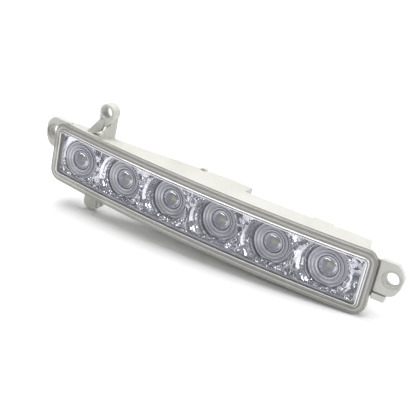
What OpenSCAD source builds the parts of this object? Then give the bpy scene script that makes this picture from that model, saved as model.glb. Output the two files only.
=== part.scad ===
// Front-bumper daytime running light: clear curved lens, six light-emitting
// diodes behind ringed optics in a metallised tray, driver electronics in the
// rear pocket of a one-piece moulded housing with two ears and a top bracket.
// Millimetres. +X runs along the lamp to the right as seen from the front,
// -Y points out of the lens, +Z is up. The origin is the centre of the right
// ear's screw hole, on the face that the screw head sits on.

/* [Lens] */
// Overall length of the lens flange
lens_l = 172.6; // [172:0.1:173]
// Overall height of the lens flange
lens_h = 29.4; // [29:0.1:29.8]
// Corner radius of the lens flange
lens_r = 5.7; // [5:0.1:6.2]
// Radius of the lens front in plan
plan_r = 632; // [600:2:670]
// Wall thickness of the clear window
lens_t = 2.4; // [2.2:0.1:2.6]
// How far the window stands in front of the flange
raise = 0.7; // [0.5:0.1:0.8]

/* [Optics] */
// Distance between neighbouring diodes
led_pitch = 27; // [26.8:0.1:27]
// Diameter of each ringed optic
optic_d = 19; // [18.6:0.1:19.2]
// Radius of a reflector cup at the front
cup_r = 12.4; // [11.6:0.1:12.6]
// Radius of a reflector cup at the optic
cup_base_r = 9.75; // [9.7:0.05:10]

/* [Housing] */
// Height of the moulded body
body_h = 26.4; // [26:0.1:26.6]
// Wall thickness of the moulded body
wall = 1.9; // [1.6:0.1:2]
// Depth of the connector socket behind the rear pocket
socket_l = 12.5; // [11:0.5:15]

/* [Mounting] */
// Diameter of the two ear holes
ear_hole_d = 6; // [5.2:0.1:6.2]
// Length of the two ear holes
ear_bore_l = 3.4; // [2.8:0.1:3.6]
// Diameter of the round seat around an ear hole
seat_d = 8.4; // [8:0.1:8.8]
// Diameter of the hole in the top bracket
ring_hole_d = 5.4; // [5:0.1:5.6]
// Outer diameter of the top bracket's ring
ring_d = 8.6; // [8.2:0.1:9]

/* [Electronics] */
// Thickness of both circuit boards
board_t = 1.2; // [1:0.1:1.2]
// Thickness of the aluminium heat spreader
spreader_t = 1.5; // [1.2:0.1:1.5]
// Distance between the two supply blades
blade_pitch = 6; // [5:0.5:7]

/* [Hidden] */
eps = 0.01;

// The sketch frame has x = 0 near the middle of the lens, y = 0 on the lens
// flange near x = 9 and z = 0 at half the lens height.
hole_right = [94.3, 7.2, 5.65];
hole_left = [-91.4, 15.2, 5.4];
hole_top = [-60.6, 12.3, 25.8];
apex_x = 9.2;
lens_x0 = 1.25 - lens_l / 2;
lens_x1 = 1.25 + lens_l / 2;
flange_t = 2.5;
leg_d = 4.4;
rebate_d = 4.9;
body_in = (lens_h - body_h) / 2;

// Diode row and the stack of plates behind it
led_x0 = -1.5;
led_z = -1;
board_y = 12.2;
pad_t = 0.5;
pad_y = board_y + board_t;
spreader_y = pad_y + pad_t;
seat_y = spreader_y + spreader_t;
board_x = [-77, 75];
screw_x = [-2 * led_pitch + led_x0, -led_pitch + led_x0, led_pitch + led_x0, 2 * led_pitch + led_x0];

// Driver board in the rear pocket
driver_y = 17;
driver_x = [-24, 13.2];
driver_back = driver_y + board_t;
driver_fix = [[-20.5, 0], [10.4, 6]];

// Connector socket
sock_c = [5, -1.75];
sock_w = 18;
sock_h = 12.5;
sock_y0 = 25.2;
sock_y1 = sock_y0 + socket_l;

module place() translate(-hole_right) children();

// Everything further from the front than depth d, measured square to the lens
module behind(d) translate([apex_x, plan_r, -60]) cylinder(r = plan_r - d, h = 120, $fn = 720);
module slab(d0, d1) difference() { behind(d0); behind(d1); }

// A drawing in x and z, given depth in y
module prism(y0, y1) translate([0, y1, 0]) rotate([90, 0, 0]) linear_extrude(y1 - y0) children();
// A round bar along y
module bar(x, z, y0, y1, r, n = 64) translate([x, y1, z]) rotate([90, 0, 0]) cylinder(r = r, h = y1 - y0, $fn = n);
// A cone along y, r0 at the front end y0 and r1 at the rear end y1
module cone(x, z, y0, y1, r0, r1, n = 64) translate([x, y1, z]) rotate([90, 0, 0]) cylinder(r1 = r1, r2 = r0, h = y1 - y0, $fn = n);
module block(lo, hi) translate(lo) cube(hi - lo);

module rrect(x0, x1, z0, z1, r) {
    translate([x0 + r, z0]) square([x1 - x0 - 2 * r, z1 - z0]);
    translate([x0, z0 + r]) square([x1 - x0, z1 - z0 - 2 * r]);
    for (x = [x0 + r, x1 - r], z = [z0 + r, z1 - r]) translate([x, z]) circle(r = r, $fn = 48);
}
// The lens outline moved inwards by i
module outline(i) rrect(lens_x0 + i, lens_x1 - i, -lens_h / 2 + i, lens_h / 2 - i, max(lens_r - i, 1.2));

function led_x(i) = led_x0 + (i - 2.5) * led_pitch;
// Local frame of diode i: +Z leaves the board's face towards the lens
module at_led(i) translate([led_x(i), board_y, led_z]) rotate([90, 0, 0]) children();

// ---------------------------------------------------------------- housing
module body_plan() polygon([
    [-86, -3], [-86, 17.5], [-74, 17.5], [-54, 17.2], [-27.6, 20.73], [-27, 20.3], [-26.2, 20.92],
    [4.3, 25], [17, 24.5], [17, 17.3], [50.5, 18.82], [50.5, 21.1], [60, 21.1], [60, 19.3],
    [62.5, 19.4], [62.5, 20.7], [78.5, 20.7], [79.5, 13.5], [81.1, 12.5], [83.5, 11.2],
    [86.1, 8.9], [88, 7.4], [88, -3]]);
module cavity_plan() polygon([
    [-90, -3], [-90, 17.5 - wall], [-74, 17.5 - wall], [-54, 17.45 - wall], [4.3, 25 - wall], [17 - wall, 24.5 - wall],
    [17 - wall, 17.45 - wall], [50, 18.8 - wall], [77.4, 20 - wall], [77.4, 11.6], [80.6, 10.6], [82.9, 9.3], [82.9, -3]]);

module right_ear() {
    prism(6.2, 9) polygon([[88.1, -1.8], [92.5, -1.7], [95.2, -1.6], [96.6, -0.9], [97.7, 0.2], [98.7, 2.6], [99.2, 5.5],
        [99.2, 8.3], [98.2, 10.2], [96.2, 12.5], [95.6, 13], [94.7, 13.2], [88.1, 13]]);
    block([84.6, 7.6, -1.8], [88.2, 9, 12]);
    // collar behind the hole
    bar(hole_right[0], hole_right[2], 8.5, hole_right[1] + ear_bore_l, 4.5);
    // stiffening rib from the rim to the ear's lower edge
    block([87.9, 7.8, -2.6], [92.6, 8.8, -1.6]);
    translate([0, 0, -5]) linear_extrude(2.6) polygon([[84.6, 7.6], [88.1, 7.6], [88.1, 5.6], [93.4, 5.8], [94, 6.4], [94, 8.6], [92, 9.6], [84.6, 10]]);
}
module left_ear() {
    prism(14, 17) polygon([[-82, 12.9], [-88.9, 12.9], [-90.9, 13.15], [-92.2, 13], [-93.4, 12.4], [-95.1, 10.6], [-96.1, 9],
        [-96.2, 5.7], [-95.7, 2.1], [-94.1, -0.6], [-93, -1.5], [-91.6, -2.1], [-86, -3], [-82, -3]]);
    // collar behind the hole
    bar(hole_left[0], hole_left[2], 16.5, hole_left[1] + ear_bore_l, 4.5);
}
// Screw seat of an ear: round spot face sunk into its front
module ear_seat(c, y0) bar(c[0], c[2], y0, c[1], seat_d / 2);

module top_bracket() {
    // ring
    bar(hole_top[0], hole_top[2], 12.7, 17.4, ring_d / 2);
    cone(hole_top[0], hole_top[2], 12.3, 12.7, ring_d / 2 - 0.4, ring_d / 2);
    // stem under the ring
    prism(12.3, 17.4) polygon([[-64.4, 23.8], [-63.9, 21.6], [-61.9, 18.8], [-59.6, 18.8], [-57.9, 21.4], [-57, 23.8]]);
    // left leg, a plate that faces the front
    prism(12, 14.2) polygon([[-63.9, 21.8], [-65.7, 19.3], [-70.5, 13.2], [-70.5, 12.6], [-66.9, 12.6], [-66.9, 13.2], [-62.6, 15.5],
        [-61.5, 18.8], [-61, 21.8]]);
    // right leg, a web that runs to the front
    translate([-57.6, 17.5, 0]) rotate([0, 0, -109.6]) translate([0, 0.8, 0]) rotate([90, 0, 0]) linear_extrude(1.6)
        polygon([[0, 12.6], [8.6, 12.6], [8.6, 14.9], [6.7, 17], [4.8, 19.2], [2.7, 21.5], [2.2, 24], [0, 26.4]]);
}
module bottom_tab() {
    prism(12, 14.2) polygon([[-65.7, -12.6], [-65.7, -21.6], [-65.4, -23.2], [-63.6, -24.8], [-60.6, -25.2], [-57.9, -23.9], [-57.5, -22],
        [-57.5, -12.6]]);
    block([-58.7, 11, -23], [-57.5, 14.2, -12.6]);
    block([-66.7, 13, -18.5], [-65.4, 14.2, -12.6]);
    bar(-56.7, -20.6, 11.6, 14.2, 1.7);
    block([-58, 12.4, -20.6], [-55.2, 14.2, -12.6]);
}
module socket_shell() {
    prism(22.6, sock_y1) rrect(sock_c[0] - sock_w / 2, sock_c[0] + sock_w / 2, sock_c[1] - sock_h / 2, sock_c[1] + sock_h / 2, 1.5);
    // latch nose on the top of the socket
    translate([sock_c[0] - 2.2, 0, 0]) rotate([90, 0, 90]) linear_extrude(4.4)
        polygon([[sock_y1 - 6.5, 4], [sock_y1 - 6.5, 5.7], [sock_y1 - 5.6, 5.7], [sock_y1 - 2.6, 4.5], [sock_y1 - 2.6, 4]]);
    // guide ribs on its sides
    for (s = [-1, 1]) block([sock_c[0] + s * 9.3 - 0.7, 24, -2.6], [sock_c[0] + s * 9.3 + 0.7, sock_y1 - 2, -0.9]);
}

module housing() color("#e6e5df") place() difference() {
    union() {
        intersection() {
            prism(0, 30) outline(body_in);
            translate([0, 0, -20]) linear_extrude(40) body_plan();
            behind(flange_t);
        }
        right_ear();
        left_ear();
        top_bracket();
        bottom_tab();
        socket_shell();
        // half-round lug on the top near the rear edge
        bar(-8.2, 12.4, 21.3, 23.3, 2);
        // screw bosses that stand out of the rear wall
        for (x = screw_x) bar(x, led_z, 16, 20.6, 3.3);
        // flat round seat for the vent
        bar(40, led_z, 17, 19.6, 5.8);
        // rear stiffening ribs
        for (z = [-6.5, 5.5]) block([-50, 16.6, z], [-33, 19.2, z + 1.2]);
        for (z = [-6.5, 5.5]) block([18, 16.4, z], [34, 18.9, z + 1.2]);
    }
    // room for the optics and the electronics
    difference() {
        intersection() {
            prism(-3, 30) outline(body_in + wall);
            translate([0, 0, -20]) linear_extrude(40) cavity_plan();
            behind(0);
        }
        for (x = screw_x) bar(x, led_z, seat_y, 30, 3.3);
        for (p = driver_fix) bar(p[0], p[1], driver_back, 30, 2.2);
    }
    // rebate for the lens leg
    intersection() {
        prism(-3, 30) outline(body_in + 1);
        slab(flange_t - 1, rebate_d);
    }
    // blind holes in the bosses
    for (x = screw_x) bar(x, led_z, seat_y - 1, 19.4, 1.25, 32);
    for (p = driver_fix) bar(p[0], p[1], driver_back - 1, 20.5, 0.95, 32);
    // ear holes and their seats
    bar(hole_right[0], hole_right[2], 5, 12, ear_hole_d / 2);
    ear_seat(hole_right, 5.5);
    bar(hole_left[0], hole_left[2], 12, 20, ear_hole_d / 2);
    ear_seat(hole_left, 13.5);
    // bracket hole with a small lead-in at the front
    bar(hole_top[0], hole_top[2], 11, 20, ring_hole_d / 2);
    cone(hole_top[0], hole_top[2], 12.3 - eps, 12.6, ring_hole_d / 2 + 0.3, ring_hole_d / 2);
    // vent hole
    bar(40, led_z, 10, 22, 1.5, 48);
    // connector socket, its polarising rib left standing
    difference() {
        prism(sock_y0, sock_y1 + 1) rrect(sock_c[0] - sock_w / 2 + 1.5, sock_c[0] + sock_w / 2 - 1.5, sock_c[1] - sock_h / 2 + 1.5,
            sock_c[1] + sock_h / 2 - 1.5, 0.8);
        block([sock_c[0] - 0.6, sock_y0 - 1, 2.2], [sock_c[0] + 0.6, sock_y1 - 1.5, 4]);
    }
    // slots for the two blades
    for (s = [-1, 1]) block([sock_c[0] + s * blade_pitch / 2 - 0.45, 21, sock_c[1] - 1.45], [sock_c[0] + s * blade_pitch / 2 + 0.45, 27, sock_c[1] + 1.45]);
}

// ---------------------------------------------------------------- lens
module outer_lens() color([0.88, 0.9, 0.92, 0.45]) place() difference() {
    union() {
        intersection() { prism(-3, 30) outline(0); slab(0, flange_t); }
        intersection() { prism(-3, 30) outline(3.3); slab(-raise, flange_t); }
        intersection() {
            prism(-3, 30) difference() { outline(body_in + 1.1); outline(body_in + 2.3); }
            slab(1, leg_d);
        }
    }
    intersection() { prism(-3, 30) outline(4); slab(lens_t - raise, flange_t + 1); }
}

module lens_sealant() color("#8d887e") place() intersection() {
    prism(-3, 30) difference() { outline(body_in + 1); outline(body_in + wall); }
    slab(leg_d, rebate_d);
}

// ---------------------------------------------------------------- optics
refl_in = 4.1;
refl_wall = 0.8;
refl_back = 10.2;
cup_y = 9.2;
// Half profile of a cup in radius and y, open to the front
function cup_profile(g) = [[0, -4], [cup_r + 2.2 + g, -4], [cup_r + g, 2.4], [(cup_r * 2 + cup_base_r) / 3 + 0.45 + g, 4.8],
    [(cup_r + cup_base_r * 2) / 3 + 0.35 + g, 7.2], [cup_base_r + g, cup_y], [cup_base_r + g, 14], [0, 14]];
module cup(i, g) translate([led_x(i), 0, led_z]) rotate([-90, 0, 0]) rotate_extrude($fn = 128) polygon(cup_profile(g));

module reflector() color("#b9bcc2") place() {
    difference() {
        intersection() {
            prism(-3, refl_back) outline(refl_in);
            behind(2.2);
            union() {
                slab(2.2, 3.2);
                prism(-3, refl_back) difference() { outline(refl_in); outline(refl_in + refl_wall); }
                block([lens_x0, -3, -12], [-78.6, refl_back, 12]);
                for (i = [0 : 5]) cup(i, 0.9);
            }
        }
        // the cups, cut flat at the tray's floor and roof
        intersection() {
            for (i = [0 : 5]) cup(i, 0);
            block([-78.6, -5, -lens_h / 2 + refl_in + refl_wall], [81, 20, lens_h / 2 - refl_in - refl_wall]);
        }
        // shallow right end, clear of the housing's swept corner
        block([76.9, 8.7, -12], [90, 20, 12]);
    }
    // posts that stand on the board
    for (x = [screw_x[0], screw_x[3]], z = [led_z - 7.2, led_z + 7.2])
        bar(x, z, plan_r - sqrt(plan_r * plan_r - (x - apex_x) * (x - apex_x)) + 2.9, board_y, 1.3, 32);
}

// Half profile of a ringed optic in radius and height above the board
optic_r = optic_d / 2;
function optic_profile() = [[0, 2.6], [2.4, 2.4], [2.7, 1.8], [optic_r, 1.8], [optic_r, 3.6], [optic_r - 0.35, 3.6], [optic_r - 0.6, 3.15],
    [8.25, 3.1], [8.1, 3.4], [6.8, 3.3], [6.6, 3.05], [4.05, 3], [3.85, 3.35], [2.8, 3.55], [1.5, 3.68], [0, 3.7]];
module collimator(i) color([0.85, 0.87, 0.95, 0.5]) place() intersection() {
    at_led(i) {
        rotate_extrude($fn = 128) polygon(optic_profile());
        for (a = [90, 210, 330]) rotate([0, 0, a]) translate([7.4, 0, 0]) cylinder(r = 0.9, h = 2.4, $fn = 24);
    }
    block([-100, 5, -9.5], [100, 20, 9.5]);
}
module collimator_1() collimator(0);
module collimator_2() collimator(1);
module collimator_3() collimator(2);
module collimator_4() collimator(3);
module collimator_5() collimator(4);
module collimator_6() collimator(5);

module led(i) color("#f1e27a") place() at_led(i) {
    translate([-1.75, -1.75, 0]) cube([3.5, 3.5, 0.55]);
    rotate_extrude($fn = 48) polygon([[0, 0.4], [1.5, 0.4], [1.5, 0.75], [1.35, 1.15], [1, 1.5], [0.5, 1.7], [0, 1.75]]);
}
module led_1() led(0);
module led_2() led(1);
module led_3() led(2);
module led_4() led(3);
module led_5() led(4);
module led_6() led(5);

// ---------------------------------------------------------------- plates and boards
module led_board() color("#9a9aa2") place() difference() {
    prism(board_y, pad_y) rrect(board_x[0], board_x[1], led_z - 8.7, led_z + 8.7, 1.5);
    for (x = screw_x) bar(x, led_z, board_y - 1, pad_y + 1, 1.6, 32);
    for (s = [-1, 1]) bar(led_x0 + s * 1.27, led_z, board_y - 1, pad_y + 1, 0.5, 24);
}
module link_window() prism(pad_y - 1, seat_y + 1) rrect(led_x0 - 4.2, led_x0 + 4.2, led_z - 2.8, led_z + 2.8, 1);

module thermal_pad() color("#8fa3b0") place() difference() {
    prism(pad_y, spreader_y) rrect(board_x[0] + 3, board_x[1] - 3, led_z - 7.6, led_z + 7.6, 1);
    for (x = screw_x) bar(x, led_z, pad_y - 1, spreader_y + 1, 2, 32);
    link_window();
}

module heat_spreader() color("#c3c6c9") place() difference() {
    prism(spreader_y, seat_y) rrect(board_x[0] - 1, board_x[1] + 0.5, -10, 10, 2);
    for (x = screw_x) bar(x, led_z, spreader_y - 1, seat_y + 1, 1.6, 32);
    link_window();
    // weight-saving round windows between the screws
    for (x = [led_x(0), led_x(5)], z = [-7, 7]) bar(x, z, spreader_y - 1, seat_y + 1, 1.5, 32);
}

// Pan-head self-tapping screw, head towards the front
module tapping_screw(x, z, y, len, r, head_r, head_h) {
    difference() {
        union() {
            bar(x, z, y - head_h + 0.4, y, head_r, 48);
            cone(x, z, y - head_h, y - head_h + 0.4, head_r - 0.4, head_r, 48);
            bar(x, z, y - 0.2, y + len - 0.8, r, 32);
            cone(x, z, y + len - 0.8, y + len, r, 0.3, 32);
        }
        for (a = [0, 90]) translate([x, y - head_h, z]) rotate([0, a, 0]) cube([head_r * 1.1, head_h * 1.1, head_r * 0.24], center = true);
    }
}
module led_board_screws() color("#a9acb0") place() for (x = screw_x) tapping_screw(x, led_z, board_y, 6.9, 1.2, 2.7, 1.6);
module driver_board_screws() color("#a9acb0") place() for (p = driver_fix) tapping_screw(p[0], p[1], driver_y, 3.3, 0.9, 1.8, 1.05);

module driver_board() color("#2f6b48") place() difference() {
    prism(driver_y, driver_back) rrect(driver_x[0], driver_x[1], -8.6, 8.6, 1);
    for (p = driver_fix) bar(p[0], p[1], driver_y - 1, driver_back + 1, 1.1, 32);
    for (s = [-1, 1]) bar(led_x0 + s * 1.27, led_z, driver_y - 1, driver_back + 1, 0.5, 24);
    for (s = [-1, 1]) bar(sock_c[0] + s * blade_pitch / 2, sock_c[1], driver_y - 1, driver_back + 1, 0.85, 24);
}

// Box-shaped package on the rear of the driver board
module package(x, z, w, h, t) block([x - w / 2, driver_back, z - h / 2], [x + w / 2, driver_back + t, z + h / 2]);

module driver_ic() color("#2a2b2e") place() {
    block([-14.9, driver_back + 0.15, -2], [-10.1, driver_back + 1.55, 2]);
    for (k = [0 : 3], s = [-1, 1]) block([-14.55 + k * 1.27, driver_back, s > 0 ? 1.9 : -3], [-14.15 + k * 1.27, driver_back + 0.8, s > 0 ? 3 : -1.9]);
}
module inductor() color("#54565a") place() difference() {
    prism(driver_back, driver_back + 2.8) rrect(-6.6, -1.6, 2.6, 7.6, 1);
    bar(-4.1, 5.1, driver_back + 2.4, driver_back + 4, 1.7, 48);
}
module input_capacitor() color("#b9bcc0") place() {
    block([-7.1, driver_back, -8.1], [-2, driver_back + 0.6, -3]);
    bar(-4.55, -5.55, driver_back + 0.3, driver_back + 2.9, 2.35, 48);
}
module suppressor_diode() color("#303235") place() {
    package(4.6, 5.2, 4, 2.6, 2.1);
    block([2, driver_back, 4.5], [7.2, driver_back + 0.6, 5.9]);
}
module polarity_diode() color("#303235") place() {
    package(5, -6.7, 4, 2.6, 2.1);
    block([2.4, driver_back, -7.4], [7.6, driver_back + 0.6, -6]);
}
module chip_resistors() color("#1f2023") place() for (p = [[-19, -5.6], [-19, -7.6], [-13.6, -5.8], [-13.6, 5.6]]) package(p[0], p[1], 3.2, 1.5, 0.55);
module chip_capacitors() color("#a98a63") place() for (p = [[-19.3, 5.2], [-19.3, 7.2], [-9.6, -5.2]]) package(p[0], p[1], 2, 1.25, 0.8);

module link_header() color("#222326") place() difference() {
    prism(pad_y, driver_y) rrect(led_x0 - 2.6, led_x0 + 2.6, led_z - 1.3, led_z + 1.3, 0.4);
    for (s = [-1, 1]) bar(led_x0 + s * 1.27, led_z, pad_y - 1, driver_y + 1, 0.45, 24);
}
module link_pins() color("#c9a24a") place() for (s = [-1, 1])
    block([led_x0 + s * 1.27 - 0.3, board_y - 0.7, led_z - 0.3], [led_x0 + s * 1.27 + 0.3, driver_back + 0.8, led_z + 0.3]);

// Supply blade: narrow tail through the driver board, flat tapered tip
module blade(x) {
    block([x - 0.4, driver_y - 0.5, sock_c[1] - 0.6], [x + 0.4, driver_back + 1, sock_c[1] + 0.6]);
    translate([x - 0.4, 0, 0]) rotate([90, 0, 90]) linear_extrude(0.8) polygon([
        [driver_back + 0.8, sock_c[1] - 1.4], [sock_y0 + 6.3, sock_c[1] - 1.4], [sock_y0 + 7.3, sock_c[1] - 0.8],
        [sock_y0 + 7.3, sock_c[1] + 0.8], [sock_y0 + 6.3, sock_c[1] + 1.4], [driver_back + 0.8, sock_c[1] + 1.4]]);
}
module terminal_supply() color("#c9b06a") place() blade(sock_c[0] - blade_pitch / 2);
module terminal_earth() color("#c9b06a") place() blade(sock_c[0] + blade_pitch / 2);

module vent_membrane() color("#f4f4f2") place() bar(40, led_z, 19.6, 20, 4.8);

housing();
outer_lens();
lens_sealant();
reflector();
collimator_1();
collimator_2();
collimator_3();
collimator_4();
collimator_5();
collimator_6();
led_board();
led_1();
led_2();
led_3();
led_4();
led_5();
led_6();
thermal_pad();
heat_spreader();
led_board_screws();
driver_board();
driver_board_screws();
driver_ic();
inductor();
input_capacitor();
suppressor_diode();
polarity_diode();
chip_resistors();
chip_capacitors();
link_header();
link_pins();
terminal_supply();
terminal_earth();
vent_membrane();
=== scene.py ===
import math

import bmesh
import bpy
import numpy as np
from mathutils import Matrix, Vector, noise


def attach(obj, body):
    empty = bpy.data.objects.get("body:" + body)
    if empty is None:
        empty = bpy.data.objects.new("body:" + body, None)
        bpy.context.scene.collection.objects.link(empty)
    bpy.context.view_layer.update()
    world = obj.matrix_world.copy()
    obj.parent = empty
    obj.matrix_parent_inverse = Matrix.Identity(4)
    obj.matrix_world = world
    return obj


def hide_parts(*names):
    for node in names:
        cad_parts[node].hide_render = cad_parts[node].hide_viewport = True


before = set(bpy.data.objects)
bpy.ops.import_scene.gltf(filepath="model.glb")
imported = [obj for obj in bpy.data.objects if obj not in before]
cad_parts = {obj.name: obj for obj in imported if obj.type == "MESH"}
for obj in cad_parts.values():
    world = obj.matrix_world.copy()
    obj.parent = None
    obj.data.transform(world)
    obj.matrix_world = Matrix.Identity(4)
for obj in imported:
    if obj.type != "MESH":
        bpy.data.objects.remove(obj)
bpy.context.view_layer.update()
scene = bpy.context.scene

# ------------------------------------------------------------------ frame
# The sketch frame, in millimetres, has its origin near the middle of the lens
# flange.  The row frame's origin is the right ear's screw hole.
OX, OY, OZ = 94.3, 7.2, 5.65
PLAN_R, APEX_X = 632.0, 9.2
LENS_X0, LENS_X1, LENS_HALF, LENS_R = -85.05, 87.55, 14.7, 5.7
LED_X = [-69.0, -42.0, -15.0, 12.0, 39.0, 66.0]
LED_Z = -1.0
BOARD_Y = 12.2


def row(x, y, z):
    return ((x - OX) / 1000.0, (y - OY) / 1000.0, (z - OZ) / 1000.0)


def front_y(x, d=0.0):
    """y of the surface at depth d behind the lens's front curve."""
    r = PLAN_R - d
    return PLAN_R - math.sqrt(r * r - (x - APEX_X) ** 2)


# ------------------------------------------------------------------ mesh helpers
def make_object(name, verts, faces, angle=30.0, merge=None):
    mesh = bpy.data.meshes.new(name)
    mesh.from_pydata(verts, [], faces)
    bm = bmesh.new()
    bm.from_mesh(mesh)
    if merge:
        bmesh.ops.remove_doubles(bm, verts=bm.verts, dist=merge)
        bmesh.ops.dissolve_degenerate(bm, edges=bm.edges, dist=merge)
    bmesh.ops.recalc_face_normals(bm, faces=bm.faces)
    bm.to_mesh(mesh)
    bm.free()
    mesh.update()
    mesh.polygons.foreach_set("use_smooth", [True] * len(mesh.polygons))
    mesh.set_sharp_from_angle(angle=math.radians(angle))
    obj = bpy.data.objects.new(name, mesh)
    scene.collection.objects.link(obj)
    return obj


def upper_chain(i, n_long=56, n_arc=7):
    """Upper half of the lens outline moved in by i, from its left side to its right side."""
    x0, x1, h, r = LENS_X0 + i, LENS_X1 - i, LENS_HALF - i, max(LENS_R - i, 1.2)
    pts = []
    for k in range(n_arc + 1):
        a = math.pi - math.pi / 2 * k / n_arc
        pts.append((x0 + r + r * math.cos(a), h - r + r * math.sin(a)))
    for k in range(1, n_long):
        pts.append((x0 + r + (x1 - x0 - 2 * r) * k / n_long, h))
    for k in range(n_arc + 1):
        a = math.pi / 2 - math.pi / 2 * k / n_arc
        pts.append((x1 - r + r * math.cos(a), h - r + r * math.sin(a)))
    return pts


def outline_ring(i, d):
    up = upper_chain(i)
    pts = up + [(x, -z) for x, z in reversed(up)]
    return [row(x, front_y(x, d), z) for x, z in pts]


def outline_sweep(name, profile, cap_start=False, cap_end=False, closed=False, angle=30.0):
    """Rings of (inset, depth) joined into one skin; the caps are curved like the lens."""
    verts, faces = [], []
    rings = [outline_ring(i, d) for i, d in profile]
    n = len(rings[0])
    half = n // 2
    for r in rings:
        verts += r
    pairs = list(range(len(rings) - 1))
    for a in pairs:
        for k in range(n):
            l = (k + 1) % n
            faces.append((a * n + k, a * n + l, (a + 1) * n + l, (a + 1) * n + k))
    if closed:
        a = len(rings) - 1
        for k in range(n):
            l = (k + 1) % n
            faces.append((a * n + k, a * n + l, l, k))
    for wanted, base in ((cap_start, 0), (cap_end, (len(rings) - 1) * n)):
        if wanted:
            for k in range(half - 1):
                faces.append((base + k, base + k + 1, base + n - 2 - k, base + n - 1 - k))
    return make_object(name, verts, faces, angle)


def fillet(p, q, r, steps=3):
    """Points of a quarter-round from p to q, both (inset, depth), bulging towards r."""
    out = []
    for k in range(steps + 1):
        t = k / steps
        out.append((
            (1 - t) ** 2 * p[0] + 2 * t * (1 - t) * r[0] + t * t * q[0],
            (1 - t) ** 2 * p[1] + 2 * t * (1 - t) * r[1] + t * t * q[1],
        ))
    return out


# ------------------------------------------------------------------ material helpers
class Nodes:
    def __init__(self, name):
        self.mat = bpy.data.materials.new(name)
        self.mat.use_nodes = True
        self.tree = self.mat.node_tree
        self.tree.nodes.clear()
        self.out = self.tree.nodes.new("ShaderNodeOutputMaterial")
        self.coord = None

    def add(self, kind, **values):
        node = self.tree.nodes.new(kind)
        for key, value in values.items():
            if key in node.inputs:
                node.inputs[key].default_value = value
            else:
                setattr(node, key, value)
        return node

    def link(self, a, b):
        self.tree.links.new(a, b)

    def position(self, scale=(1, 1, 1)):
        if self.coord is None:
            self.coord = self.add("ShaderNodeTexCoord")
        m = self.add("ShaderNodeMapping")
        m.inputs["Scale"].default_value = scale
        self.link(self.coord.outputs["Object"], m.inputs["Vector"])
        return m.outputs["Vector"]

    def noise(self, scale, detail=3.0, roughness=0.55, stretch=(1, 1, 1)):
        n = self.add("ShaderNodeTexNoise")
        n.inputs["Scale"].default_value = scale
        n.inputs["Detail"].default_value = detail
        n.inputs["Roughness"].default_value = roughness
        self.link(self.position(stretch), n.inputs["Vector"])
        return n.outputs["Fac"]

    def span(self, value, lo, hi, from_lo=0.3, from_hi=0.7):
        m = self.add("ShaderNodeMapRange")
        m.inputs["From Min"].default_value = from_lo
        m.inputs["From Max"].default_value = from_hi
        m.inputs["To Min"].default_value = lo
        m.inputs["To Max"].default_value = hi
        self.link(value, m.inputs["Value"])
        return m.outputs["Result"]

    def ramp(self, value, stops):
        r = self.add("ShaderNodeValToRGB")
        e = r.color_ramp.elements
        while len(e) < len(stops):
            e.new(0.5)
        for k, (at, colour) in enumerate(stops):
            e[k].position = at
            e[k].color = (*colour, 1.0)
        self.link(value, r.inputs["Fac"])
        return r.outputs["Color"]

    def bump(self, height, strength, distance, normal=None):
        b = self.add("ShaderNodeBump")
        b.inputs["Strength"].default_value = strength
        b.inputs["Distance"].default_value = distance
        self.link(height, b.inputs["Height"])
        if normal is not None:
            self.link(normal, b.inputs["Normal"])
        return b.outputs["Normal"]


def principled(name, stops, rough=(0.4, 0.5), noise_scale=300.0, bump_scale=None, bump=(0.15, 0.00003),
               metallic=0.0, ior=1.46, stretch=(1, 1, 1), coat=0.0, specular=None, glow=None):
    n = Nodes(name)
    p = n.add("ShaderNodeBsdfPrincipled")
    p.inputs["Metallic"].default_value = metallic
    p.inputs["IOR"].default_value = ior
    if coat:
        p.inputs["Coat Weight"].default_value = coat
        p.inputs["Coat Roughness"].default_value = 0.08
    if specular is not None:
        p.inputs["Specular IOR Level"].default_value = specular
    if glow:
        p.inputs["Emission Color"].default_value = (*glow[0], 1.0)
        p.inputs["Emission Strength"].default_value = glow[1]
    fac = n.noise(noise_scale, 4.0, 0.6, stretch)
    n.link(n.ramp(fac, stops), p.inputs["Base Color"])
    n.link(n.span(n.noise(noise_scale * 0.7, 3.0, 0.6, stretch), rough[0], rough[1]), p.inputs["Roughness"])
    if bump_scale:
        n.link(n.bump(n.noise(bump_scale, 2.0, 0.5, stretch), bump[0], bump[1]), p.inputs["Normal"])
    n.link(p.outputs["BSDF"], n.out.inputs["Surface"])
    return n.mat


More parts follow.
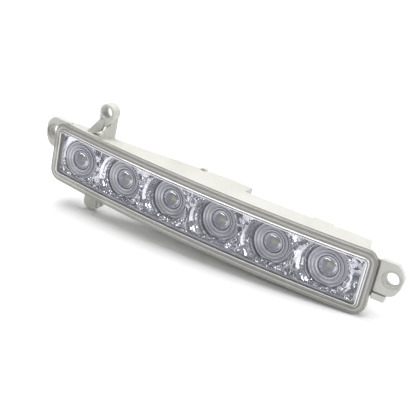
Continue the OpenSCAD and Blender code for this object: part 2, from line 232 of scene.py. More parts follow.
def clear_material(name, tint_stops, base_reflection, rough, noise_scale, bump=(0.03, 0.00002), painted_share=0.0, painted_colour=(0.8, 0.8, 0.85)):
    """See-through moulding: light passes straight, and the surface reflects by its Fresnel share. The optional diffuse
    share, with its own colour, paints light or shade into the clear plastic.
    """
    n = Nodes(name)
    t = n.add("ShaderNodeBsdfTransparent")
    g = n.add("ShaderNodeBsdfGlossy")
    n.link(n.ramp(n.noise(noise_scale, 2.0, 0.5), tint_stops), t.inputs["Color"])
    n.link(n.span(n.noise(noise_scale * 1.7, 2.0, 0.5), rough[0], rough[1]), g.inputs["Roughness"])
    g.inputs["Color"].default_value = (1, 1, 1, 1)
    normal = n.bump(n.noise(noise_scale * 0.6, 2.0, 0.5), bump[0], bump[1])
    n.link(normal, g.inputs["Normal"])
    lw = n.add("ShaderNodeLayerWeight")
    lw.inputs["Blend"].default_value = 0.5
    n.link(normal, lw.inputs["Normal"])
    power = n.add("ShaderNodeMath", operation="POWER")
    n.link(lw.outputs["Facing"], power.inputs[0])
    power.inputs[1].default_value = 5.0
    f = n.add("ShaderNodeMapRange")
    f.inputs["To Min"].default_value = base_reflection
    f.inputs["To Max"].default_value = 1.0
    n.link(power.outputs["Value"], f.inputs["Value"])
    base = t.outputs["BSDF"]
    if painted_share:
        d = n.add("ShaderNodeBsdfDiffuse")
        d.inputs["Color"].default_value = (*painted_colour, 1)
        m0 = n.add("ShaderNodeMixShader")
        m0.inputs["Fac"].default_value = painted_share
        n.link(base, m0.inputs[1])
        n.link(d.outputs["BSDF"], m0.inputs[2])
        base = m0.outputs["Shader"]
    m = n.add("ShaderNodeMixShader")
    n.link(f.outputs["Result"], m.inputs["Fac"])
    n.link(base, m.inputs[1])
    n.link(g.outputs["BSDF"], m.inputs[2])
    n.link(m.outputs["Shader"], n.out.inputs["Surface"])
    return n.mat


def wear(obj, mat):
    obj.data.materials.clear()
    obj.data.materials.append(mat)


# ------------------------------------------------------------------ materials
def housing_material():
    n = Nodes("housing_plastic")
    p = n.add("ShaderNodeBsdfPrincipled")
    p.inputs["IOR"].default_value = 1.49
    p.inputs["Specular IOR Level"].default_value = 0.45
    broad = n.noise(38.0, 3.0, 0.5)
    fine = n.noise(900.0, 2.0, 0.5)
    colour = n.ramp(broad, [(0.3, (0.570, 0.567, 0.527)), (0.5, (0.598, 0.595, 0.558)), (0.72, (0.628, 0.625, 0.592))])
    speck = n.ramp(fine, [(0.35, (0.965, 0.965, 0.96)), (0.6, (1.0, 1.0, 1.0))])
    mix = n.add("ShaderNodeMix", data_type="RGBA", blend_type="MULTIPLY")
    mix.inputs["Factor"].default_value = 1.0
    n.link(colour, mix.inputs["A"])
    n.link(speck, mix.inputs["B"])
    n.link(mix.outputs["Result"], p.inputs["Base Color"])
    n.link(n.span(n.noise(120.0, 3.0, 0.6), 0.38, 0.52), p.inputs["Roughness"])
    grain = n.bump(fine, 0.10, 0.00004)
    flow = n.bump(n.noise(60.0, 2.0, 0.5, (0.4, 1, 1)), 0.12, 0.0003, grain)
    n.link(flow, p.inputs["Normal"])
    n.link(p.outputs["BSDF"], n.out.inputs["Surface"])
    return n.mat


def chrome_material(name, dark, light, rough, lean, strength):
    """Metallised plastic: fine flats in the grain, a little uneven in tone."""
    n = Nodes(name)
    p = n.add("ShaderNodeBsdfPrincipled")
    p.inputs["Metallic"].default_value = 1.0
    n.link(n.ramp(n.noise(110.0, 3.0, 0.6), [(0.3, dark), (0.7, light)]), p.inputs["Base Color"])
    n.link(n.span(n.noise(260.0, 3.0, 0.6), rough[0], rough[1]), p.inputs["Roughness"])
    v = n.add("ShaderNodeTexVoronoi")
    v.inputs["Scale"].default_value = lean
    n.link(n.position(), v.inputs["Vector"])
    n.link(n.bump(v.outputs["Distance"], strength, 0.0004, n.bump(n.noise(420.0, 2.0, 0.5), 0.10, 0.00012)), p.inputs["Normal"])
    n.link(p.outputs["BSDF"], n.out.inputs["Surface"])
    return n.mat


M = {
    "housing": housing_material(),
    # The two reflector materials are darker and lighter copies of one metallising: the lands' darker copy is painted
    # shade, the flares' lighter copy a painted highlight.
    "chrome": chrome_material("reflector_chrome", (0.50, 0.50, 0.54), (0.78, 0.78, 0.82), (0.08, 0.16), 420.0, 0.20),
    "chrome_flare": chrome_material("reflector_chrome_flare", (0.80, 0.80, 0.84), (0.94, 0.94, 0.97), (0.07, 0.14), 480.0, 0.20),
    "lens": clear_material("clear_lens", [(0.35, (0.955, 0.958, 0.965)), (0.65, (0.975, 0.977, 0.98))], 0.045, (0.012, 0.03), 90.0),
    # The clear flange and rim carry a dark diffuse colour, painted shade in place of the shaded housing rim seen
    # through them; the bead's paler colour is a painted light band.
    "lens_flange": clear_material("clear_lens_flange", [(0.35, (0.86, 0.855, 0.83)), (0.65, (0.90, 0.895, 0.87))], 0.05, (0.03, 0.08), 140.0, bump=(0.01, 0.00002),
                                  painted_share=0.55, painted_colour=(0.42, 0.40, 0.37)),
    "lens_bead": clear_material("clear_lens_bead", [(0.35, (0.88, 0.875, 0.86)), (0.65, (0.92, 0.915, 0.90))], 0.10, (0.03, 0.08), 140.0, bump=(0.01, 0.00002),
                                painted_share=0.60, painted_colour=(0.60, 0.595, 0.57)),
    "lens_rim": clear_material("clear_lens_rim", [(0.35, (0.74, 0.735, 0.71)), (0.65, (0.80, 0.795, 0.77))], 0.07, (0.05, 0.12), 160.0, bump=(0.01, 0.00002),
                               painted_share=0.62, painted_colour=(0.40, 0.395, 0.37)),
    # The optics' diffuse colour paints light into the clear rings: the crests' pale colour is a painted highlight and
    # the grooves' dark tint is painted shade.
    "optic": clear_material("clear_optic", [(0.35, (0.78, 0.78, 0.85)), (0.65, (0.86, 0.86, 0.92))], 0.13, (0.10, 0.18), 500.0,
                            bump=(0.05, 0.00003), painted_share=0.36, painted_colour=(0.86, 0.86, 0.95)),
    "optic_step": clear_material("clear_optic_step", [(0.35, (0.80, 0.80, 0.86)), (0.65, (0.88, 0.88, 0.93))], 0.50, (0.05, 0.10), 500.0,
                                 bump=(0.05, 0.00003), painted_share=0.20, painted_colour=(0.84, 0.84, 0.92)),
    "optic_painted_highlight_crest": clear_material("clear_optic_painted_highlight_crest", [(0.35, (0.88, 0.88, 0.92)), (0.65, (0.94, 0.94, 0.97))], 0.30, (0.14, 0.22), 500.0,
                                  bump=(0.08, 0.00003), painted_share=0.62, painted_colour=(0.95, 0.95, 0.98)),
    "optic_painted_shade_groove": clear_material("clear_optic_painted_shade_groove", [(0.35, (0.32, 0.32, 0.39)), (0.65, (0.40, 0.40, 0.47))], 0.06, (0.04, 0.08), 500.0,
                                   bump=(0.05, 0.00003), painted_share=0.04, painted_colour=(0.4, 0.4, 0.46)),
    "optic_core": clear_material("clear_optic_core", [(0.35, (0.88, 0.88, 0.92)), (0.65, (0.94, 0.94, 0.97))], 0.08, (0.02, 0.05), 500.0,
                                 bump=(0.05, 0.00003), painted_share=0.10, painted_colour=(0.86, 0.86, 0.95)),
    # The leg's pale diffuse colour paints light on its shaded face; at the window's edge a dark-tinted band is painted
    # shade between two pale painted highlight lines.
    "lens_leg": clear_material("clear_lens_leg", [(0.35, (0.88, 0.88, 0.87)), (0.65, (0.93, 0.93, 0.92))], 0.20, (0.04, 0.10), 140.0,
                               bump=(0.01, 0.00002), painted_share=0.75, painted_colour=(0.88, 0.875, 0.86)),
    "lens_painted_shade_line": clear_material("clear_lens_painted_shade_line", [(0.35, (0.40, 0.40, 0.40)), (0.65, (0.48, 0.48, 0.48))], 0.08, (0.04, 0.08), 140.0,
                                bump=(0.01, 0.00002), painted_share=0.10, painted_colour=(0.30, 0.30, 0.30)),
    "lens_painted_highlight_line": clear_material("clear_lens_painted_highlight_line", [(0.35, (0.90, 0.90, 0.90)), (0.65, (0.94, 0.94, 0.94))], 0.34, (0.04, 0.08), 140.0,
                                bump=(0.01, 0.00002), painted_share=0.72, painted_colour=(0.92, 0.92, 0.93)),
    "tray_edge": principled("tray_edge", [(0.3, (0.62, 0.62, 0.62)), (0.7, (0.72, 0.72, 0.72))], (0.30, 0.42), 240.0, 700.0, (0.1, 0.00003), metallic=0.6),
    "dome": clear_material("led_dome", [(0.35, (0.94, 0.94, 0.90)), (0.65, (0.97, 0.97, 0.94))], 0.04, (0.02, 0.05), 900.0),
    "sealant": principled("sealant", [(0.3, (0.30, 0.285, 0.26)), (0.7, (0.38, 0.365, 0.335))], (0.45, 0.6), 400, 700, (0.3, 0.0001)),
    # The phosphor's faint emission is painted light: the LED is not switched on.
    "phosphor_painted_glow": principled("phosphor_painted_glow", [(0.3, (0.70, 0.66, 0.05)), (0.7, (0.82, 0.78, 0.12))], (0.45, 0.6), 2500, 3000, (0.3, 0.00002), glow=((1.0, 0.96, 0.20), 0.16)),
    "package": principled("led_package", [(0.3, (0.42, 0.42, 0.44)), (0.7, (0.50, 0.50, 0.52))], (0.3, 0.45), 900, 2000, (0.1, 0.00002)),
    "led_board_mask": principled("led_board_mask", [(0.3, (0.32, 0.32, 0.36)), (0.7, (0.40, 0.40, 0.44))], (0.35, 0.5), 160, 900, (0.15, 0.00003)),
    "thermal_pad": principled("thermal_pad", [(0.3, (0.16, 0.24, 0.31)), (0.7, (0.22, 0.31, 0.38))], (0.7, 0.85), 500, 800, (0.3, 0.00008)),
    "spreader": principled("spreader_aluminium", [(0.3, (0.68, 0.69, 0.70)), (0.7, (0.78, 0.79, 0.80))], (0.28, 0.42), 220, 900,
                           (0.1, 0.00003), metallic=1.0, stretch=(0.06, 1, 1)),
    "steel": principled("screw_steel", [(0.3, (0.50, 0.51, 0.53)), (0.7, (0.64, 0.65, 0.67))], (0.22, 0.4), 900, 1500,
                        (0.15, 0.00002), metallic=1.0),
    "driver_board": principled("driver_board", [(0.35, (0.012, 0.085, 0.035)), (0.65, (0.02, 0.13, 0.055))], (0.25, 0.4), 300, 900,
                               (0.15, 0.00003), coat=0.4),
    "black": principled("black_package", [(0.3, (0.018, 0.018, 0.02)), (0.7, (0.035, 0.035, 0.038))], (0.45, 0.6), 1500, 2500, (0.3, 0.00002)),
    "ferrite": principled("ferrite", [(0.3, (0.05, 0.05, 0.055)), (0.7, (0.10, 0.10, 0.105))], (0.6, 0.8), 1800, 2200, (0.4, 0.00003)),
    "can": principled("capacitor_can", [(0.3, (0.60, 0.61, 0.63)), (0.7, (0.72, 0.73, 0.75))], (0.2, 0.32), 700, 1200,
                      (0.1, 0.00002), metallic=1.0, stretch=(1, 0.1, 1)),
    "ceramic": principled("capacitor_ceramic", [(0.3, (0.33, 0.22, 0.13)), (0.7, (0.45, 0.31, 0.19))], (0.35, 0.5), 2500, 3000, (0.2, 0.00002)),
    "brass": principled("pin_brass", [(0.3, (0.60, 0.50, 0.26)), (0.7, (0.74, 0.66, 0.42))], (0.18, 0.34), 500, 1100,
                        (0.1, 0.00002), metallic=1.0, stretch=(1, 0.15, 1)),
    "membrane": principled("vent_membrane", [(0.3, (0.72, 0.72, 0.71)), (0.7, (0.86, 0.86, 0.85))], (0.8, 0.95), 3500, 4200, (0.5, 0.00006)),
}

CAD_LOOK = {
    "lens_sealant": "sealant", "led_board": "led_board_mask", "thermal_pad": "thermal_pad",
    "heat_spreader": "spreader", "led_board_screws": "steel", "driver_board": "driver_board", "driver_board_screws": "steel",
    "driver_ic": "black", "inductor": "ferrite", "input_capacitor": "can", "suppressor_diode": "black", "polarity_diode": "black",
    "chip_resistors": "black", "chip_capacitors": "ceramic", "link_header": "black", "link_pins": "brass",
    "terminal_supply": "brass", "terminal_earth": "brass", "vent_membrane": "membrane",
}
for node_name, look in CAD_LOOK.items():
    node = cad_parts[node_name]
    node.data.materials.clear()
    node.data.materials.append(M[look])
    for poly in node.data.polygons:
        poly.material_index = 0

# ------------------------------------------------------------------ housing
EASE = 0.00022


def build_housing():
    """The moulding with its outer corners eased, as a moulded edge is."""
    bm = bmesh.new()
    bm.from_mesh(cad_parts["housing"].data)
    bmesh.ops.remove_doubles(bm, verts=bm.verts, dist=2e-6)
    bmesh.ops.dissolve_degenerate(bm, edges=bm.edges, dist=2e-6)
    bmesh.ops.dissolve_limit(bm, angle_limit=math.radians(0.6), verts=bm.verts, edges=bm.edges)
    sharp = {e for e in bm.edges if e.is_manifold and e.calc_face_angle(0.0) > math.radians(32)}
    eased = []
    for e in sharp:
        room = all(o is e or o in sharp or o.calc_length() >= 2.2 * EASE for v in e.verts for o in v.link_edges)
        if room and e.calc_length() > 2.5e-4:
            eased.append(e)
    eased.sort(key=lambda e: e.index)
    bmesh.ops.bevel(bm, geom=eased, offset=EASE, offset_type="OFFSET", segments=2, profile=0.5, affect="EDGES", clamp_overlap=False)
    bmesh.ops.triangulate(bm, faces=[f for f in bm.faces if len(f.verts) > 4])
    mesh = bpy.data.meshes.new("moulded_housing")
    bm.to_mesh(mesh)
    bm.free()
    mesh.polygons.foreach_set("use_smooth", [True] * len(mesh.polygons))
    mesh.set_sharp_from_angle(angle=math.radians(46))
    obj = bpy.data.objects.new("moulded_housing", mesh)
    scene.collection.objects.link(obj)
    shade = obj.modifiers.new("face_weights", "WEIGHTED_NORMAL")
    shade.keep_sharp = True
    return obj


housing = build_housing()
wear(housing, M["housing"])
for poly in housing.data.polygons:
    poly.material_index = 0
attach(housing, "root")
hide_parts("housing")

# ------------------------------------------------------------------ clear lens
lens_profile = (
    [(5.5, -0.7), (4.48, -0.7), (4.40, -0.78), (4.02, -0.78), (3.94, -0.7)]
    + fillet((3.75, -0.7), (3.3, -0.3), (3.3, -0.7), 4)
    + fillet((3.3, -0.15), (3.15, 0.0), (3.3, 0.0), 2)
    + [(2.45, 0.0)]
    + fillet((2.34, -0.04), (2.18, -0.18), (2.34, -0.18), 2)
    + fillet((1.62, -0.18), (1.46, -0.04), (1.46, -0.18), 2)
    + [(1.36, 0.0)]
    + fillet((0.45, 0.0), (0.0, 0.45), (0.0, 0.0), 4)
    + fillet((0.0, 2.2), (0.3, 2.5), (0.0, 2.5), 2)
    + [(2.6, 2.5)]
    + fillet((2.6, 4.2), (2.8, 4.4), (2.6, 4.4), 2)
    + fillet((3.6, 4.4), (3.8, 4.2), (3.8, 4.4), 2)
    + [(3.8, 2.5), (4.0, 2.5)]
    + fillet((4.0, 2.0), (4.3, 1.7), (4.0, 1.7), 3)
    + [(6.0, 1.7)]
)
lens = outline_sweep("clear_lens_moulding", lens_profile, cap_start=True, cap_end=True, angle=50.0)
wear(lens, M["lens"])
lens.data.materials.append(M["lens_flange"])
lens.data.materials.append(M["lens_rim"])
lens.data.materials.append(M["lens_painted_shade_line"])
lens.data.materials.append(M["lens_bead"])
lens.data.materials.append(M["lens_leg"])
lens.data.materials.append(M["lens_painted_highlight_line"])
# Bands by inset and depth: painted shade on the rim and flange, a painted light band on the bead, painted highlight
# lines either side of a painted shade line at the window's edge, and painted light on the leg.
for poly in lens.data.polygons:
    px, pz = poly.center[0] * 1000.0 + OX, poly.center[2] * 1000.0 + OZ
    inset = min(px - LENS_X0, LENS_X1 - px, LENS_HALF - abs(pz))
    cx_, cz_ = min(px - LENS_X0, LENS_X1 - px), LENS_HALF - abs(pz)
    if cx_ < LENS_R and cz_ < LENS_R:
        inset = LENS_R - math.hypot(LENS_R - cx_, LENS_R - cz_)
    depth = poly.center[1] * 1000.0 + OY - front_y(px)
    poly.material_index = 2 if inset < 1.40 else 4 if inset < 2.30 else 1 if inset < 3.12 else 6 if inset < 3.55 else 3 if inset < 3.94 else 6 if inset < 4.48 else 0
    if depth > 1.0 and inset > 4.4:
        poly.material_index = 0
    elif depth > 1.8 and inset > 2.3:
        poly.material_index = 5
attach(lens, "root")
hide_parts("outer_lens")

# ------------------------------------------------------------------ reflector tray
TRAY_FRONT, TRAY_IN, TRAY_BACK = 2.2, 3.9, 10.2
Z_LO, Z_HI = -9.8, 9.8
X_LO, X_HI = -80.4, 81.6
CUP_R, CUP_BASE = 12.4, 9.75
LEAN_FLARE, LEAN_LAND, LEAN_FLOOR = 0.42, 0.60, 0.50


def rect_samples(xl, xr, zl, zr, nx, nz):
    """Points round a rectangle, clockwise seen from the front, corners included once."""
    pts = [(xl + (xr - xl) * k / nx, zr) for k in range(nx)]
    pts += [(xr, zr + (zl - zr) * k / nz) for k in range(nz)]
    pts += [(xr + (xl - xr) * k / nx, zl) for k in range(nx)]
    pts += [(xl, zl + (zr - zl) * k / nz) for k in range(nz)]
    return pts


def cup_radius(t):
    """Radius of the flare, t 0 at the optic and 1 at the tray's front."""
    return CUP_BASE + (CUP_R - CUP_BASE) * (0.12 * t + 0.88 * t ** 2.6)


def flats(u, v, pitch, lean):
    """Height of a field of small flats that lean at random, at u, v in millimetres."""
    near = noise.voronoi(Vector((u / pitch, v / pitch, 3.7)), distance_metric="DISTANCE", exponent=2.5)[1][0]
    way = noise.cell_vector(near * 19.19)
    return pitch * lean * 2.0 * ((way[0] - 0.5) * (u / pitch - near[0]) + (way[1] - 0.5) * (v / pitch - near[1]))


def build_reflector():
    verts, faces = [], []
    n_flare, n_land, nx, nz = 24, 20, 86, 62
    for c, cx in enumerate(LED_X):
        xl = X_LO if c == 0 else cx - 13.5
        xr = X_HI if c == 5 else cx + 13.5
        ring = rect_samples(xl - cx, xr - cx, Z_LO - LED_Z, Z_HI - LED_Z, nx, nz)
        n = len(ring)
        base = len(verts)
        levels = [("floor", 0.0), ("wall", 0.0)] + [("flare", k / n_flare) for k in range(1, n_flare + 1)] + [("land", k / n_land) for k in range(1, n_land + 1)]
        for kind, t in levels:
            for bx, bz in ring:
                reach = math.hypot(bx, bz)
                a = math.atan2(bz, bx)
                ux, uz = bx / reach, bz / reach
                want, y = CUP_BASE, 9.2
                if kind == "floor":
                    want, y = CUP_BASE - 0.05, TRAY_BACK - 0.2
                elif kind == "flare":
                    want = cup_radius(t)
                    # leaning flats round the flare, worn smooth towards its upper left
                    calm = 0.12 + 0.88 * (0.5 + 0.5 * math.cos(a + 0.9))
                    calm *= 1.0 - 0.75 * math.exp(-((a + 2.5) / 0.32) ** 2)
                    want += calm * flats(a * 11.0 + 40.0 * c, t * 7.5, 1.7, LEAN_FLARE) * min(1.0, t * 6.0, (1.0 - t) * 5.0)
                    want -= 0.20 * (0.5 - 0.5 * math.cos(t * 6.0 * math.pi)) * (1.0 if t < 0.999 else 0.0)
                    front = front_y(cx + ux * min(want, reach), TRAY_FRONT)
                    y = 9.2 + (front - 9.2) * t
                r = min(want, reach)
                x, z = ux * r, uz * r
                if kind == "land":
                    start = min(CUP_R, reach)
                    r = start + (reach - start) * t
                    x, z = ux * r, uz * r
                    y = front_y(cx + x, TRAY_FRONT)
                    if reach > CUP_R and t < 0.999:
                        y += (0.25 + flats(cx + x, z, 2.5, LEAN_LAND)) * min(1.0, t * 5.0, (1.0 - t) * 5.0)
                elif kind == "flare" and want > reach + 1e-6 and (abs(bz - (Z_LO - LED_Z)) < 1e-6 or abs(bz - (Z_HI - LED_Z)) < 1e-6):
                    # leaning flats on the tray's floor and roof
                    z += flats(cx + x, y * 1.3, 1.7, LEAN_FLOOR) * min(1.0, (1.0 - t) * 5.0)
                verts.append(row(cx + x, y, LED_Z + z))
        for l in range(len(levels) - 1):
            for k in range(n):
                m = (k + 1) % n
                faces.append((base + l * n + k, base + l * n + m, base + (l + 1) * n + m, base + (l + 1) * n + k))
    # border between the cells' rectangle and the tray's rounded edge, then its outer skirt
    def border(x, z, d):
        return row(x, front_y(x, d), z)

    xs = []
    for c, cx in enumerate(LED_X):
        xl = X_LO if c == 0 else cx - 13.5
        xr = X_HI if c == 5 else cx + 13.5
        xs += [xl + (xr - xl) * k / nx for k in range(nx)]
    xs.append(X_HI)
    zs = [Z_HI + (Z_LO - Z_HI) * k / nz for k in range(nz + 1)]
    inner = [(x, Z_HI) for x in xs] + [(X_HI, z) for z in zs[1:]] + [(x, Z_LO) for x in reversed(xs[:-1])] + [(X_LO, z) for z in reversed(zs[1:-1])]

    def outer(x, z, i):
        x0, x1, h, r = LENS_X0 + i, LENS_X1 - i, LENS_HALF - i, max(LENS_R - i, 1.2)
        ox = x0 if x <= X_LO + 1e-6 and abs(z) < Z_HI - 1e-6 else x1 if x >= X_HI - 1e-6 and abs(z) < Z_HI - 1e-6 else None
        if ox is not None:
            return ox, z * (h - r) / Z_HI
        s = 1 if z > 0 else -1
        if x <= X_LO + 1e-6:
            return x0 + r * 0.2929, s * (h - r * 0.2929)
        if x >= X_HI - 1e-6:
            return x1 - r * 0.2929, s * (h - r * 0.2929)
        lo, hi = x0 + r, x1 - r
        return lo + (x - X_LO) * (hi - lo) / (X_HI - X_LO), s * h

    n = len(inner)
    base = len(verts)
    verts += [border(x, z, TRAY_FRONT) for x, z in inner]
    for i, d in ((TRAY_IN + 0.3, TRAY_FRONT), (TRAY_IN, TRAY_FRONT + 0.3)):
        verts += [border(*outer(x, z, i), d) for x, z in inner]
    back = [outer(x, z, TRAY_IN) for x, z in inner]
    verts += [row(x, (8.7 if x > 76.9 else TRAY_BACK), z) for x, z in back]
    back_in = [outer(x, z, TRAY_IN + 0.8) for x, z in inner]
    verts += [row(x, (8.7 if x > 76.9 else TRAY_BACK), z) for x, z in back_in]
    verts += [row(x, front_y(x, TRAY_FRONT + 1.0), z) for x, z in back_in]
    for l in range(5):
        for k in range(n):
            m = (k + 1) % n
            faces.append((base + l * n + k, base + l * n + m, base + (l + 1) * n + m, base + (l + 1) * n + k))
    return make_object("reflector_tray", verts, faces, 16.0, merge=2e-6)


reflector = build_reflector()
wear(reflector, M["chrome"])
reflector.data.materials.append(M["tray_edge"])
reflector.data.materials.append(M["chrome_flare"])
for poly in reflector.data.polygons:
    px, py, pz = poly.center[0] * 1000.0 + OX, poly.center[1] * 1000.0 + OY, poly.center[2] * 1000.0 + OZ
    if px < X_LO - 0.02 or px > X_HI + 0.02 or abs(pz) > Z_HI + 0.35:
        poly.material_index = 1
    elif min(math.hypot(px - cx, pz - LED_Z) for cx in LED_X) < CUP_R - 0.05 and abs(pz) < Z_HI - 0.6:
        poly.material_index = 2
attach(reflector, "root")
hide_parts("reflector")

# ------------------------------------------------------------------ ringed optics
RIDGES = (5.55, 7.25, 8.95)
OPTIC = (
    [(0.0, 3.70), (0.8, 3.69), (1.5, 3.66), (2.1, 3.60), (2.7, 3.50), (3.2, 3.36), (3.6, 3.14), (3.95, 2.88), (4.1, 2.72), (4.34, 2.40), (4.46, 2.34), (4.66, 2.44)]
    # round ridges, one outside the other
    + [p for r in RIDGES for p in ((r - 0.80, 2.48), (r - 0.60, 2.54), (r - 0.40, 2.66), (r - 0.20, 2.84), (r - 0.04, 3.00), (r + 0.08, 3.06), (r + 0.20, 3.04), (r + 0.34, 2.76), (r + 0.44, 2.52))]
    + [(9.44, 2.46), (9.5, 2.38), (9.5, 1.88), (9.42, 1.8), (5.0, 1.8), (2.75, 1.8), (2.66, 1.9), (2.42, 2.1), (2.3, 2.16), (1.2, 2.24), (0.0, 2.28)]
)


def build_optic(name, cx):
    verts, faces = [], []
    n = 96
    for r, h in OPTIC:
        for k in range(n):
            a = 2 * math.pi * k / n
            ux, uz = math.cos(a), math.sin(a)
            reach = 99.0 if uz > -0.01 else 8.5 / -uz
            rr = min(r, reach)
            verts.append(row(cx + ux * rr, BOARD_Y - h, LED_Z + uz * rr))
    for l in range(len(OPTIC) - 1):
        for k in range(n):
            m = (k + 1) % n
            faces.append((l * n + k, l * n + m, (l + 1) * n + m, (l + 1) * n + k))
    # three feet down to the board
    for deg in (90, 210, 330):
        fx, fz = 7.4 * math.cos(math.radians(deg)), 7.4 * math.sin(math.radians(deg))
        base = len(verts)
        for h, r in ((1.9, 0.98), (1.6, 0.9), (0.12, 0.86), (0.0, 0.72), (0.0, 0.0)):
            for k in range(16):
                a = 2 * math.pi * k / 16
                zz = max(LED_Z + fz + r * math.sin(a), -9.5)
                verts.append(row(cx + fx + r * math.cos(a), BOARD_Y - h, zz))
        for l in range(4):
            for k in range(16):
                m = (k + 1) % 16
                faces.append((base + l * 16 + k, base + l * 16 + m, base + (l + 1) * 16 + m, base + (l + 1) * 16 + k))
    return make_object(name, verts, faces, 40.0, merge=2e-6)


def build_led(name, cx):
    verts, faces = [], []

    def stack(rings, n):
        base = len(verts)
        for pts, h in rings:
            for x, z in pts:
                verts.append(row(cx + x, BOARD_Y - h, LED_Z + z))
        for l in range(len(rings) - 1):
            for k in range(n):
                m = (k + 1) % n
                faces.append((base + l * n + k, base + l * n + m, base + (l + 1) * n + m, base + (l + 1) * n + k))
        return base

    def square(s, r):
        pts = []
        for cxs, czs, a0 in ((1, 1, 0), (-1, 1, 90), (-1, -1, 180), (1, -1, 270)):
            for k in range(5):
                a = math.radians(a0 + 22.5 * k)
                pts.append((cxs * (s - r) + r * math.cos(a), czs * (s - r) + r * math.sin(a)))
        return pts

    body = [(square(1.75, 0.2), 0.0), (square(1.75, 0.2), 0.48), (square(1.68, 0.2), 0.55), (square(1.0, 0.2), 0.55), (square(0.001, 0.0005), 0.55)]
    stack(body, 20)
    first_chip = len(faces)
    chip = [(square(1.15, 0.14), 0.5), (square(1.15, 0.14), 0.72), (square(1.05, 0.14), 0.80), (square(0.001, 0.0005), 0.82)]
    stack(chip, 20)
    first_dome = len(faces)
    rings = []
    for k in range(11):
        a = math.radians(90 * k / 10)
        rings.append(([(1.5 * math.cos(a) * math.cos(t), 1.5 * math.cos(a) * math.sin(t)) for t in [2 * math.pi * j / 32 for j in range(32)]],
                      0.55 + 1.2 * math.sin(a)))
    rings.insert(0, (rings[0][0], 0.5))
    stack(rings, 32)
    obj = make_object(name, verts, faces, 40.0)
    obj.data.materials.append(M["package"])
    obj.data.materials.append(M["phosphor_painted_glow"])
    obj.data.materials.append(M["dome"])
    for k, poly in enumerate(obj.data.polygons):
        poly.material_index = 0 if k < first_chip else 1 if k < first_dome else 2
    return obj


for index, cx in enumerate(LED_X):
    optic = build_optic("ringed_optic_%d" % (index + 1), cx)
    wear(optic, M["optic"])
    optic.data.materials.append(M["optic_core"])
    optic.data.materials.append(M["optic_painted_highlight_crest"])
    optic.data.materials.append(M["optic_painted_shade_groove"])
    optic.data.materials.append(M["optic_step"])
    for poly in optic.data.polygons:
        px, pz = poly.center[0] * 1000.0 + OX - cx, poly.center[2] * 1000.0 + OZ - LED_Z
        depth = BOARD_Y - OY - poly.center[1] * 1000.0
        r = math.hypot(px, pz)
        index_ = 0
        if r < 2.65:
            index_ = 1
        elif depth > 2.3 and 3.15 < r < 3.90:
            index_ = 4
        elif depth > 2.3 and (4.02 < r < 4.36 or any(-0.36 < r - c < 0.20 for c in RIDGES)):
            index_ = 2
        elif depth > 2.3 and r > 4.36 and any(0.20 < r - c < 0.64 for c in (4.25,) + RIDGES):
            index_ = 3
        poly.material_index = index_
    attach(optic, "root")
    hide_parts("collimator_%d" % (index + 1))
    led = build_led("led_package_%d" % (index + 1), cx)
    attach(led, "root")
    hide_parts("led_%d" % (index + 1))

# ------------------------------------------------------------------ camera
camera_data = bpy.data.cameras.new("photo_camera")
camera_data.lens = 76.07
camera_data.sensor_width = 36.0
camera_data.clip_start, camera_data.clip_end = 0.02, 20.0
camera = bpy.data.objects.new("photo_camera", camera_data)
scene.collection.objects.link(camera)
right, up, back = (0.83631, 0.51129, 0.19790), (-0.35674, 0.23338, 0.90458), (0.41632, -0.82711, 0.37757)
camera.matrix_world = Matrix((
    (right[0], up[0], back[0], 0.07579),
    (right[1], up[1], back[1], -0.32706),
    (right[2], up[2], back[2], 0.14671),
    (0, 0, 0, 1)))
scene.camera = camera

# ------------------------------------------------------------------ floor
UP = Vector((-0.079, -0.126, 0.989)).normalized()
touch = Vector(row(-60.6, 14.2, -25.2)) - UP * 0.0001
rot = UP.to_track_quat("Z", "Y").to_matrix().to_4x4()
floor_mesh = bpy.data.meshes.new("floor")
floor_mesh.from_pydata([(-4, -4, 0), (4, -4, 0), (4, 4, 0), (-4, 4, 0)], [], [(0, 1, 2, 3)])
floor = bpy.data.objects.new("floor", floor_mesh)
scene.collection.objects.link(floor)
floor.matrix_world = Matrix.Translation(touch) @ rot
floor_mat = principled("floor_paper", [(0.3, (0.85, 0.85, 0.845)), (0.7, (0.875, 0.875, 0.87))], (0.7, 0.8), 12.0, 60.0, (0.05, 0.0003), specular=0.1)
ft = floor_mat.node_tree
f_out = next(n for n in ft.nodes if n.type == "OUTPUT_MATERIAL")
f_top = next(n for n in ft.nodes if n.type == "BSDF_PRINCIPLED")
f_side = ft.nodes.new("ShaderNodeNewGeometry")
f_open = ft.nodes.new("ShaderNodeBsdfTransparent")
f_mix = ft.nodes.new("ShaderNodeMixShader")
f_place = ft.nodes.new("ShaderNodeTexCoord")
f_reach = ft.nodes.new("ShaderNodeVectorMath")
f_reach.operation = "LENGTH"
f_fade = ft.nodes.new("ShaderNodeMapRange")
f_fade.interpolation_type = "SMOOTHSTEP"
f_fade.inputs["From Min"].default_value = 0.9
f_fade.inputs["From Max"].default_value = 1.9
f_more = ft.nodes.new("ShaderNodeMath")
f_more.operation = "MAXIMUM"
ft.links.new(f_place.outputs["Object"], f_reach.inputs[0])
ft.links.new(f_reach.outputs["Value"], f_fade.inputs["Value"])
ft.links.new(f_fade.outputs["Result"], f_more.inputs[0])
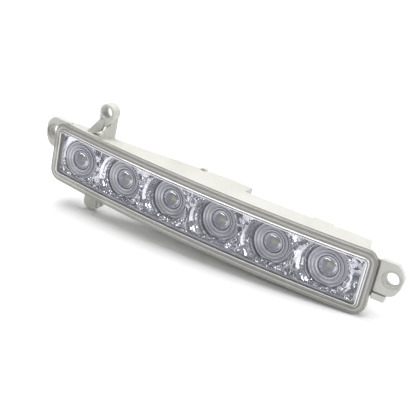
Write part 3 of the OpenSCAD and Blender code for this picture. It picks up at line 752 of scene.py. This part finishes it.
ft.links.new(f_side.outputs["Backfacing"], f_more.inputs[1])
ft.links.new(f_more.outputs["Value"], f_mix.inputs["Fac"])
ft.links.new(f_top.outputs["BSDF"], f_mix.inputs[1])
ft.links.new(f_open.outputs["BSDF"], f_mix.inputs[2])
ft.links.new(f_mix.outputs["Shader"], f_out.inputs["Surface"])
wear(floor, floor_mat)


# ------------------------------------------------------------------ light
def area(name, where, look_at, size, power, colour=(1, 1, 1)):
    data = bpy.data.lights.new(name, "AREA")
    data.shape = "RECTANGLE"
    data.size, data.size_y = size
    data.energy = power
    data.color = colour
    obj = bpy.data.objects.new(name, data)
    scene.collection.objects.link(obj)
    w, t = Vector(where), Vector(look_at)
    obj.location = w
    obj.rotation_mode = "QUATERNION"
    obj.rotation_quaternion = (w - t).to_track_quat("Z", "Y")
    return obj


centre = row(1, 10, 0)
area("top_softbox", (-0.45, 0.07, 1.60), centre, (2.0, 1.4), 40.0)
area("right_fill", (1.00, 0.30, 0.55), centre, (0.7, 0.6), 5.0)
area("upper_right", (0.72, -0.42, 0.42), centre, (0.32, 0.24), 2.0)
area("upper_left", (-0.50, -0.74, 0.46), centre, (0.95, 0.15), 2.0)


world = bpy.data.worlds.new("studio")
world.use_nodes = True
wt = world.node_tree
dim = wt.nodes["Background"]
dim.inputs["Color"].default_value = (0.88, 0.89, 0.95, 1.0)
dim.inputs["Strength"].default_value = 0.25
pale = wt.nodes.new("ShaderNodeBackground")
pale.inputs["Color"].default_value = (0.99, 0.99, 0.985, 1.0)
pale.inputs["Strength"].default_value = 1.0
path = wt.nodes.new("ShaderNodeLightPath")
room = wt.nodes.new("ShaderNodeMixShader")
wt.links.new(path.outputs["Is Camera Ray"], room.inputs["Fac"])
wt.links.new(dim.outputs["Background"], room.inputs[1])
wt.links.new(pale.outputs["Background"], room.inputs[2])
wt.links.new(room.outputs["Shader"], wt.nodes["World Output"].inputs["Surface"])
scene.world = world
scene.view_settings.view_transform = "Standard"
scene.view_settings.look = "None"
scene.view_settings.gamma = 0.82
